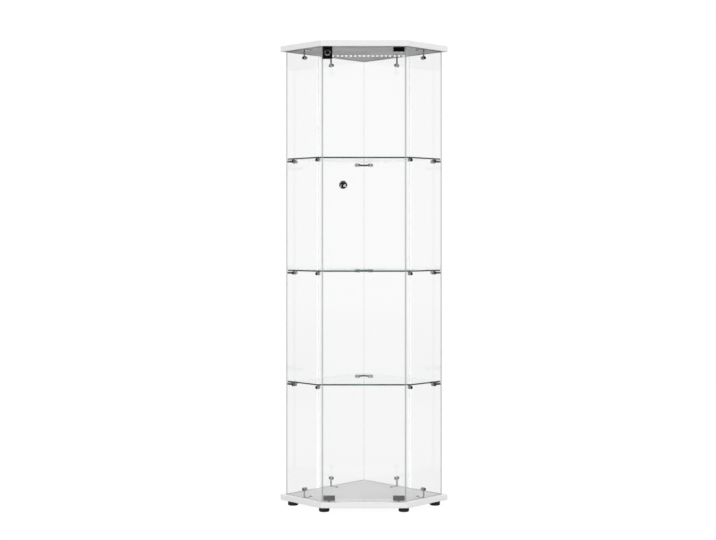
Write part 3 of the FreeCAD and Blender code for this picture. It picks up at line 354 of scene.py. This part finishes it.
# %% Plastic finishes
foot_black = finish("foot_black", (0.012, 0.012, 0.013), (0.02, 0.02, 0.021), 0.38, 0.55,
                    tone_scale=40, gloss_scale=90, grain_scale=1400, bump=0.35)
nylon = finish("nylon", (0.74, 0.73, 0.69), (0.80, 0.79, 0.76), 0.4, 0.5,
               tone_scale=200, gloss_scale=300, grain_scale=1500, bump=0.1)
rubber = finish("rubber", (0.035, 0.035, 0.037), (0.06, 0.06, 0.062), 0.7, 0.85,
                tone_scale=150, gloss_scale=200, grain_scale=1300, bump=0.3)
print("made", foot_black.name, nylon.name, rubber.name)

# %% [markdown]
# ## Glass
# Float glass is almost clear through its 5 mm. Its slight green comes from iron in the melt, so
# it isn't painted on: it is an absorption inside the solid, stronger the further a ray runs.
# The faces carry a trace of smears. A lamp's shadow ray is let through, as real glass throws
# hardly any shadow.
#
# A pane bends light as a solid does. A shelf is seen nearly from its edge, where a ray would
# turn round inside it many times and come out grey, so most of the rays go straight through it.

# %% Clear glass
def clear_glass(name, density, straight):
    """Clear glass that tints by density, and lets a share of the rays straight through."""
    material, tree, shader = new_material(name)
    shader.inputs["Base Color"].default_value = (1, 1, 1, 1)
    shader.inputs["Transmission Weight"].default_value = 1.0
    shader.inputs["IOR"].default_value = 1.5
    smear = add_group(tree, uneven_gloss, Place=object_place(tree), Scale=6.0,
                      Smooth=0.0, Rough=0.012)
    tree.links.new(smear.outputs["Roughness"], shader.inputs["Roughness"])
    ray = add_node(tree, "ShaderNodeLightPath")
    clear = add_node(tree, "ShaderNodeBsdfTransparent")
    let_through = add_node(tree, "ShaderNodeMixShader")
    output = tree.nodes["Material Output"]
    share = math_of(tree, "MAXIMUM", ray.outputs["Is Shadow Ray"], straight)
    tree.links.new(share, let_through.inputs["Fac"])
    tree.links.new(shader.outputs["BSDF"], let_through.inputs[1])
    tree.links.new(clear.outputs["BSDF"], let_through.inputs[2])
    tree.links.new(let_through.outputs["Shader"], output.inputs["Surface"])
    tint = add_node(tree, "ShaderNodeVolumeAbsorption")
    tint.inputs["Color"].default_value = (0.16, 0.34, 0.27, 1)
    tint.inputs["Density"].default_value = density
    tree.links.new(tint.outputs["Volume"], output.inputs["Volume"])
    return material


pane_glass = clear_glass("pane_glass", 1.5, 0.0)
shelf_glass = clear_glass("shelf_glass", 1.5, 0.94)
print("made", pane_glass.name, shelf_glass.name)

# %% [markdown]
# ## Ground edges
# Seen from its edge, the same sheet is another thing. The edge is ground, so it scatters, and
# what it scatters has run the length of the sheet. On an upright pane that is daylight, and the
# edge is a pale grey green. On a shelf it is the dim inside of a sheet that is lit only from
# its rim, and the edge is nearly black, with a green heart where the light of the back corner
# comes through. So an edge gets its own opaque finish instead of clear glass, with that light
# and shade painted into its colour. The pane's pale edge is partly its own frosted grey and
# partly painted light. The shelf's black edge is painted shade, and its green heart is painted
# light.
# In the two wide corners the edges of two panes shade each other, so they are darker there, as
# painted shade.

# %% Edge finishes
# Pale pane edge: partly its own frosted grey, partly painted light.
pane_edge = finish("pane_edge", (0.39, 0.44, 0.42), (0.47, 0.52, 0.50), 0.3, 0.45,
                   tone_scale=12, gloss_scale=300, grain_scale=1800, bump=0.2)
# Painted shade: the shelf's edge is nearly black.
shelf_edge = finish("shelf_edge", (0.004, 0.028, 0.022), (0.009, 0.042, 0.034), 0.12, 0.25,
                    tone_scale=9, gloss_scale=300, grain_scale=1800, bump=0.1)


def painted_green_light(material):
    """Paint light into a shelf's edge: its tone turns green towards the middle, where the light
    of the back corner comes through.
    """
    tree = material.node_tree
    aside = math_of(tree, "ABSOLUTE", parts_of(tree, object_place(tree))[0], 0.0)
    middle = fade_of(tree, aside, none_at=0.045, full_at=0.015)
    overlay(material, middle, (0.035, 0.12, 0.10))


def corner_shade(material):
    """Darken the edges in the two wide corners, most in stretches under the shelves and the top.

    The shelves stand 400 mm apart. A zigzag of the height with half that step is the distance
    to the middle of a stretch, 9 mm under each multiple of the step.
    """
    step = 0.4
    under = 9 * MM
    tree = material.node_tree
    x, _, z = parts_of(tree, object_place(tree))
    corner = fade_of(tree, math_of(tree, "ABSOLUTE", x, 0.0), none_at=0.2, full_at=0.25)
    away = math_of(tree, "PINGPONG", math_of(tree, "ADD", z, under), step / 2)
    shelf = fade_of(tree, away, none_at=11 * MM, full_at=7 * MM)
    near_top = fade_of(tree, z, none_at=1.574, full_at=1.580)
    top = math_of(tree, "MULTIPLY", near_top, fade_of(tree, x, none_at=0.9, full_at=-0.3))
    low = fade_of(tree, z, none_at=1.0, full_at=0.2)
    right = fade_of(tree, x, none_at=-0.1, full_at=0.1)
    sides = math_of(tree, "ADD", math_of(tree, "MULTIPLY", right, 0.3), 0.5)
    dim = math_of(tree, "ADD", math_of(tree, "MULTIPLY", low, 0.3), sides)
    strong = math_of(tree, "MAXIMUM", shelf, top)
    mask = math_of(tree, "MULTIPLY", corner, math_of(tree, "MAXIMUM", dim, strong))
    overlay(material, mask, (0.02, 0.03, 0.03))


# Painted light: a green heart in the middle of each shelf's edge.
painted_green_light(shelf_edge)
corner_shade(pane_edge)
shelf_edge.node_tree.nodes["Principled BSDF"].inputs["Specular IOR Level"].default_value = 0.25
print("made", pane_edge.name, shelf_edge.name)

# %% [markdown]
# ## Sheets
# A piece can carry two finishes when its faces are sorted into two material slots. Each sheet
# is a merged copy of its solid, and the sorting is a test of where a face points. The two large
# faces stay clear. So do the back panes' edges in the back corner, the shelves' edges along the
# walls, and the lower edges of the door and the side panes, which are polished. Every other
# edge is ground.

# %% Make the sheets
SAME_POINT = 0.01 * MM
LARGE_FACE = 0.95
CLEAR_SIDE = 0.3
HALF = math.sqrt(0.5)


def sheet(solid, facing, clear, ground, clear_side, body="cabinet"):
    """Copy a solid of glass, with clear faces and ground edges."""
    work = bmesh.new()
    work.from_mesh(nodes[solid].data)
    bmesh.ops.remove_doubles(work, verts=work.verts, dist=SAME_POINT)
    work.normal_update()
    facing, clear_side = Vector(facing), Vector(clear_side)
    edges = 0
    for face in work.faces:
        narrow = abs(face.normal.dot(facing)) < LARGE_FACE
        ground_here = narrow and face.normal.dot(clear_side) < CLEAR_SIDE
        face.material_index = int(ground_here)
        face.smooth = False
        edges += ground_here
    mesh = bpy.data.meshes.new(f"{solid}_sheet")
    work.to_mesh(mesh)
    work.free()
    mesh.materials.append(clear)
    mesh.materials.append(ground)
    piece = bpy.data.objects.new(mesh.name, mesh)
    bpy.context.scene.collection.objects.link(piece)
    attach(piece, body)
    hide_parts(solid)
    print(f"{piece.name}: {len(mesh.polygons)} faces, {edges} of them ground")


sheet("door_glass", (0, 1, 0), pane_glass, pane_edge, (0, 0, -1), "door")
for side, sign in (("left", -1), ("right", 1)):
    across_back = (sign * HALF, HALF, 0)
    across_side = (sign * HALF, -HALF, 0)
    sheet(f"{side}_side_glass", across_side, pane_glass, pane_edge, (0, 0, -1))
    sheet(f"{side}_back_glass", across_back, pane_glass, pane_edge,
          (-sign * HALF, HALF, 0))
for level in ("lower", "middle", "upper"):
    sheet(f"{level}_shelf", (0, 0, 1), shelf_glass, shelf_edge, (0, 1, 0))

# %% [markdown]
# ## Give each solid its finish
# The solids keep their shape. Each node's material slots are cleared and get one finish.

# %% Assign the finishes
FINISHES = {
    board_white: ["top_board", "bottom_board"],
    chrome: ["top_hinge_clamp", "bottom_hinge_clamp", "glide_clamp", "door_pull"],
    lock_black: ["lock_case", "lock_plug"],
    peg_chrome_painted_shade: ["strap_pegs", "strap_screws", "front_pegs", "front_peg_screws",
                "bracket_nuts", "bracket_glass_screws", "bracket_board_screws"],
    bar_chrome_painted_shade: [name for name in nodes if name.endswith(("_strap", "_bracket"))],
    zinc_steel: ["foot_screws", "clamp_set_screws", "pull_screw", "lock_bolt",
                 "lock_set_screws"],
    foot_black: [name for name in nodes if name.endswith("_foot")],
    nylon: ["top_pivot_bush", "bottom_pivot_bush"],
    rubber: ["clamp_pads", "pull_washers", "lock_pad"],
}
for material, names in FINISHES.items():
    for name in names:
        slots = nodes[name].data.materials
        slots.clear()
        slots.append(material)
    print(f"{material.name}: {len(names)} nodes")

# %% [markdown]
# ## LED tape
# LED tape is a 10 mm strip of white flexible circuit. Every 16.2 mm it carries a square white
# package with a round window. Each run of three shares a small black resistor, and between two
# runs lie the bright solder spots where the tape may be cut. The solids only block this out, so
# each tape is modelled again, lying along X, and then moved to its place.
#
# The tape across the top is lit. Those up the walls are off, so their windows look grey. Their
# strip and packages are still given a little painted light of their own, or their white would
# look grey against the white room, and their grey windows get a faint painted glow.

# %% Materials of the tape
def glow(material, color, strength):
    """Let a finish give light of its own."""
    shader = material.node_tree.nodes["Principled BSDF"]
    shader.inputs["Emission Color"].default_value = (*color, 1)
    shader.inputs["Emission Strength"].default_value = strength


tape_white = finish("tape_white", (0.78, 0.78, 0.77), (0.84, 0.84, 0.83), 0.3, 0.45,
                    tone_scale=90, gloss_scale=200)
package_white = finish("package_white", (0.82, 0.82, 0.81), (0.86, 0.86, 0.85), 0.35, 0.5,
                       tone_scale=300, gloss_scale=400)
package_lit = finish("package_lit", (0.82, 0.82, 0.81), (0.86, 0.86, 0.85), 0.35, 0.5,
                     tone_scale=300, gloss_scale=400)
tape_lit = finish("tape_lit", (0.78, 0.78, 0.77), (0.84, 0.84, 0.83), 0.3, 0.45,
                  tone_scale=90, gloss_scale=200)
glow(tape_lit, (1, 1, 0.98), 0.14)
# Painted light: the unlit wall tapes' strip and packages glow a little.
glow(tape_white, (1, 1, 0.99), 0.54)
glow(package_white, (1, 1, 0.99), 0.46)
glow(package_lit, (1, 0.99, 0.96), 1.6)
resistor_black = finish("resistor_black", (0.015, 0.015, 0.016), (0.03, 0.03, 0.03), 0.3,
                        0.5, tone_scale=400, gloss_scale=500)
solder = finish("solder", (0.60, 0.60, 0.59), (0.70, 0.70, 0.69), 0.2, 0.35,
                tone_scale=500, gloss_scale=700, metallic=1.0)


def window(name, first, second, strength):
    """The round window of an LED, glowing by a given strength."""
    material = finish(name, first, second, 0.25, 0.35, tone_scale=500, gloss_scale=600)
    glow(material, (1, 0.97, 0.9), strength)
    return material


roof_window = window("roof_window", (0.90, 0.86, 0.62), (0.93, 0.90, 0.70), 2.6)
# Painted light: the windows of the unlit wall tapes glow faintly.
wall_window = window("wall_window", (0.44, 0.44, 0.42), (0.50, 0.50, 0.48), 0.12)
print("made the tape's materials")

# %% Model one tape
TAPE_WIDTH = 10 * MM
TAPE_HIGH = 0.4 * MM
LED_PITCH = 16.2 * MM
LED_SIZE = 5 * MM
LED_HIGH = 1.6 * MM
LED_BEVEL = 0.25 * MM
WINDOW_RADIUS = 2.0 * MM
WINDOW_HIGH = 0.1 * MM
RUN = 3
BAND, PACKAGE, WINDOW, RESISTOR, SOLDER = range(5)


def block(tape, centre, size, material, bevel=0.0):
    """Add a box to a mesh that is being built, with softened edges if it has a bevel."""
    shape = Matrix.Translation(centre) @ Matrix.Diagonal((*size, 1))
    made = bmesh.ops.create_cube(tape, size=1, matrix=shape)
    faces = {face for vert in made["verts"] for face in vert.link_faces}
    edges = {edge for vert in made["verts"] for edge in vert.link_edges}
    for face in faces:
        face.material_index = material
    if bevel:
        bmesh.ops.bevel(tape, geom=list(edges), offset=bevel, offset_type="OFFSET",
                        affect="EDGES", segments=1, profile=0.5, material=-1)


def disc(tape, centre):
    """Add a window: a low disc, a little narrower at its top."""
    made = bmesh.ops.create_cone(tape, cap_ends=True, segments=12, radius1=WINDOW_RADIUS,
                                 radius2=WINDOW_RADIUS * 0.96, depth=WINDOW_HIGH,
                                 matrix=Matrix.Translation(centre))
    for face in {face for vert in made["verts"] for face in vert.link_faces}:
        face.material_index = WINDOW


def on_tape(tape, x, y, size, lift, material, bevel=0.0):
    """Set a box on the tape, with its centre a given height over the strip."""
    block(tape, (x, y, TAPE_HIGH + lift), size, material, bevel)


def led_tape(name, length, place, band, package, lens, body):
    """Model a tape from x = 0, back on z = 0, and move it to its place."""
    tape = bmesh.new()
    block(tape, (length / 2, 0, TAPE_HIGH / 2), (length, TAPE_WIDTH, TAPE_HIGH), BAND)
    count = math.floor(length / LED_PITCH + 1e-6)
    first = (length - (count - 1) * LED_PITCH) / 2
    for number in range(count):
        x = first + number * LED_PITCH
        on_tape(tape, x, 0, (LED_SIZE, LED_SIZE, LED_HIGH), LED_HIGH / 2, PACKAGE, LED_BEVEL)
        disc(tape, (x, 0, TAPE_HIGH + LED_HIGH + WINDOW_HIGH / 2))
        for side in (-3 * MM, 3 * MM):
            on_tape(tape, x + side, 0, (1.2 * MM, 4 * MM, 0.2 * MM), 0.1 * MM, SOLDER)
        if number == count - 1:
            break
        between = x + LED_PITCH / 2
        if number % RUN == 0:
            on_tape(tape, between, 1.6 * MM, (2.0 * MM, 1.4 * MM, 0.6 * MM), 0.3 * MM,
                    RESISTOR)
        if number % RUN == RUN - 1:
            for row in (-2.4 * MM, 2.4 * MM):
                on_tape(tape, between, row, (3.0 * MM, 2.0 * MM, 0.15 * MM), 0.1 * MM,
                        SOLDER)
    tape.transform(place)
    mesh = bpy.data.meshes.new(name)
    tape.to_mesh(mesh)
    tape.free()
    for material in (band, package, lens, resistor_black, solder):
        mesh.materials.append(material)
    piece = bpy.data.objects.new(name, mesh)
    bpy.context.scene.collection.objects.link(piece)
    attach(piece, body)
    print(f"{name}: {count} LEDs, {len(mesh.polygons)} faces")
    return piece


def axes(origin, along, across, out):
    """The matrix that puts a tape's own X, Y and Z along three directions."""
    turn = Matrix((along, across, out)).transposed().to_4x4()
    return Matrix.Translation(origin) @ turn


# %% Roof tape: faces down, across the underside
low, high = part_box("roof_led_tape")
origin = Vector((low.x, (low.y + high.y) / 2, high.z))
roof_place = axes(origin, Vector((1, 0, 0)), Vector((0, -1, 0)), Vector((0, 0, -1)))
roof_tape = led_tape("roof_tape", high.x - low.x, roof_place, tape_lit, package_lit,
                     roof_window, "cabinet")
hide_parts("roof_led_tape")

# %% Wall tapes: run up both back panes and face into the case
half_across = TAPE_WIDTH / 2 * HALF
for side, name in ((-1, "left"), (1, "right")):
    low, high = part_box(f"{name}_led_tape")
    edge_x = high.x if side > 0 else -low.x
    origin = Vector((side * (edge_x - half_across), high.y - half_across, low.z))
    inward = Vector((-side * HALF, -HALF, 0))
    up = Vector((0, 0, 1))
    wall_tape = led_tape(f"{name}_tape", high.z - low.z,
                         axes(origin, up, inward.cross(up), inward), tape_white,
                         package_white, wall_window, "cabinet")
    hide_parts(f"{name}_led_tape")

# %% [markdown]
# ## Studio
# The floor and the room behind are white. A white that is only a colour would need so much
# light that the object would wash out, so the floor and the world look white to the camera, to
# mirrors and through glass, and stay at a plain level as a source of light. Through glass, the
# floor near the cabinet has a trace of painted shade.

# %% World and floor
FLOOR_SIZE = 80
FLOOR_GLOW = 0.975
FLOOR_PAINTED_SHADE = 0.05


def seen_directly(tree):
    """1 for rays that see the background: from the camera, by reflection or refraction.

    Light that a dull surface has already scattered stays at the plain level, also where it
    passes through a pane on its way.
    """
    ray = add_node(tree, "ShaderNodeLightPath")
    mirrored = math_of(tree, "MAXIMUM", ray.outputs["Is Camera Ray"],
                       ray.outputs["Is Glossy Ray"])
    any_way = math_of(tree, "MAXIMUM", mirrored, ray.outputs["Is Transmission Ray"])
    unscattered = math_of(tree, "LESS_THAN", ray.outputs["Diffuse Depth"], 0.5)
    return math_of(tree, "MULTIPLY", any_way, unscattered)


def grey_mix(tree, plain, direct, mask):
    """A grey for scattered light, and another for rays that a mask calls direct."""
    mix = add_node(tree, "ShaderNodeMix", data_type="RGBA")
    mix.inputs["A"].default_value = (plain, plain, plain, 1)
    mix.inputs["B"].default_value = (direct, direct, direct, 1)
    tree.links.new(mask, mix.inputs["Factor"])
    return mix.outputs["Result"]


world = bpy.data.worlds.new("studio_room")
bpy.context.scene.world = world
world.use_nodes = True
room = world.node_tree
white = grey_mix(room, 0.78, 1, seen_directly(room))
room.links.new(white, room.nodes["Background"].inputs["Color"])

floor_white, tree, shader = new_material("floor_white")
shader.inputs["Roughness"].default_value = 0.9
shader.inputs["Specular IOR Level"].default_value = 0.0
direct = seen_directly(tree)
tree.links.new(grey_mix(tree, 0.34, 0.03, direct), shader.inputs["Base Color"])
shader.inputs["Emission Color"].default_value = (1, 1, 1, 1)
full_glow = math_of(tree, "MULTIPLY", direct, FLOOR_GLOW)
distance = add_node(tree, "ShaderNodeVectorMath", operation="LENGTH")
tree.links.new(object_place(tree), distance.inputs[0])
near = fade_of(tree, distance.outputs["Value"], none_at=14.0, full_at=0.5)
ray = add_node(tree, "ShaderNodeLightPath")
through = math_of(tree, "MULTIPLY", ray.outputs["Is Transmission Ray"], near)
# Painted shade: through glass, the floor is a trace dimmer near the cabinet.
painted_shade = math_of(tree, "MULTIPLY", math_of(tree, "MULTIPLY", through, direct), FLOOR_PAINTED_SHADE)
tree.links.new(math_of(tree, "SUBTRACT", full_glow, painted_shade), shader.inputs["Emission Strength"])
bpy.ops.mesh.primitive_plane_add(size=FLOOR_SIZE)
floor = bpy.context.object
floor.name = "studio_floor"
floor.data.materials.append(floor_white)
print("made the room and the floor")

# %% [markdown]
# ## Lamps and flags
# A wide soft box in front, at the height of the middle shelf and a little to the right, lights
# the boards' edges. Two smaller ones stand high on both sides and behind the cabinet, and a weak
# one low on the left lifts the bottom board. Bright metal in an all-white room would vanish, so
# photographers hang black cards, or flags, where only the metal can see them. The flags here
# are hidden from everything but mirror rays. Their inner borders show in the pull's dish. They
# fade out sideways and behind, so that no hard border shows in a pane from another side.

# %% Lamps
def soft_box(name, place, target, width, height, watts):
    """A lamp with a wide front, aimed at a target, that neither mirrors nor glass show."""
    lamp = bpy.data.lights.new(name, "AREA")
    lamp.shape = "RECTANGLE"
    lamp.size = width
    lamp.size_y = height
    lamp.energy = watts
    item = bpy.data.objects.new(name, lamp)
    item.location = place
    item.rotation_euler = (Vector(target) - Vector(place)).to_track_quat("-Z", "Y").to_euler()
    item.visible_glossy = False
    item.visible_transmission = False
    bpy.context.scene.collection.objects.link(item)


soft_box("front_box", place=(0.9, front_y - 6.0, 0.8), target=(0, 0, 0.6),
         width=3.0, height=2.0, watts=188)
for name, side in (("right_box", 1), ("left_box", -1)):
    soft_box(name, place=(side * 2.4, front_y + 1.6, 2.6), target=(0, 0, 0.2),
             width=1.4, height=1.8, watts=46)
soft_box("low_box", place=(-2.0, front_y - 1.6, 0.45), target=(-0.2, front_y, 0.05),
         width=1.0, height=0.6, watts=4.5)
print("made four lamps")

# %% Flags
def flag(name, corner, across, up, grey):
    """A card that only mirror rays see, from one corner along two sides.

    It is full within 3 m sideways and 0.5 m behind, and gone at 11.5 m and 6.5 m.
    """
    material, tree, shader = new_material(name)
    shader.inputs["Base Color"].default_value = (grey, grey, grey, 1)
    shader.inputs["Roughness"].default_value = 1.0
    shader.inputs["Specular IOR Level"].default_value = 0.0
    x, y, _ = parts_of(tree, object_place(tree))
    aside = math_of(tree, "ABSOLUTE", x, 0.0)
    shown = math_of(tree, "MULTIPLY", fade_of(tree, aside, none_at=11.5, full_at=3.0),
                    fade_of(tree, y, none_at=6.5, full_at=0.5))
    tree.links.new(shown, shader.inputs["Alpha"])
    card = bmesh.new()
    corner, across, up = Vector(corner), Vector(across), Vector(up)
    card.faces.new([card.verts.new(corner + move) for move in
                    (Vector(), across, across + up, up)])
    mesh = bpy.data.meshes.new(name)
    card.to_mesh(mesh)
    card.free()
    mesh.materials.append(material)
    item = bpy.data.objects.new(name, mesh)
    bpy.context.scene.collection.objects.link(item)
    item.visible_camera = False
    item.visible_diffuse = False
    item.visible_transmission = False
    item.visible_shadow = False


FAR_Y = front_y - 7.0
OVER_FLOOR = 0.002
flag("high_flag", (-0.6, FAR_Y, 2.35), across=(9, 0, 0), up=(0, 0, 8), grey=0.01)
flag("back_flag", (-2.5, FAR_Y, 0), across=(12, 0, 0), up=(0, 0, 2.35), grey=0.04)
flag("near_flag", (-12, front_y - 0.9, OVER_FLOOR), across=(24, 0, 0), up=(0, 7.9, 0), grey=0.20)
flag("far_flag", (-12, FAR_Y, OVER_FLOOR), across=(24, 0, 0), up=(0, 6.1, 0), grey=0.03)
flag("roof_flag", (-3.0, front_y - 3.0, 4.2), across=(6, 0, 0), up=(0, 7, 0), grey=0.02)
for name, side in (("left_flag", -1), ("right_flag", 1)):
    flag(name, (side * 3.2, front_y - 2.5, 0), across=(0, 3.2, 0), up=(0, 0, 2.6), grey=0.04)
print("made seven flags for the mirrors")
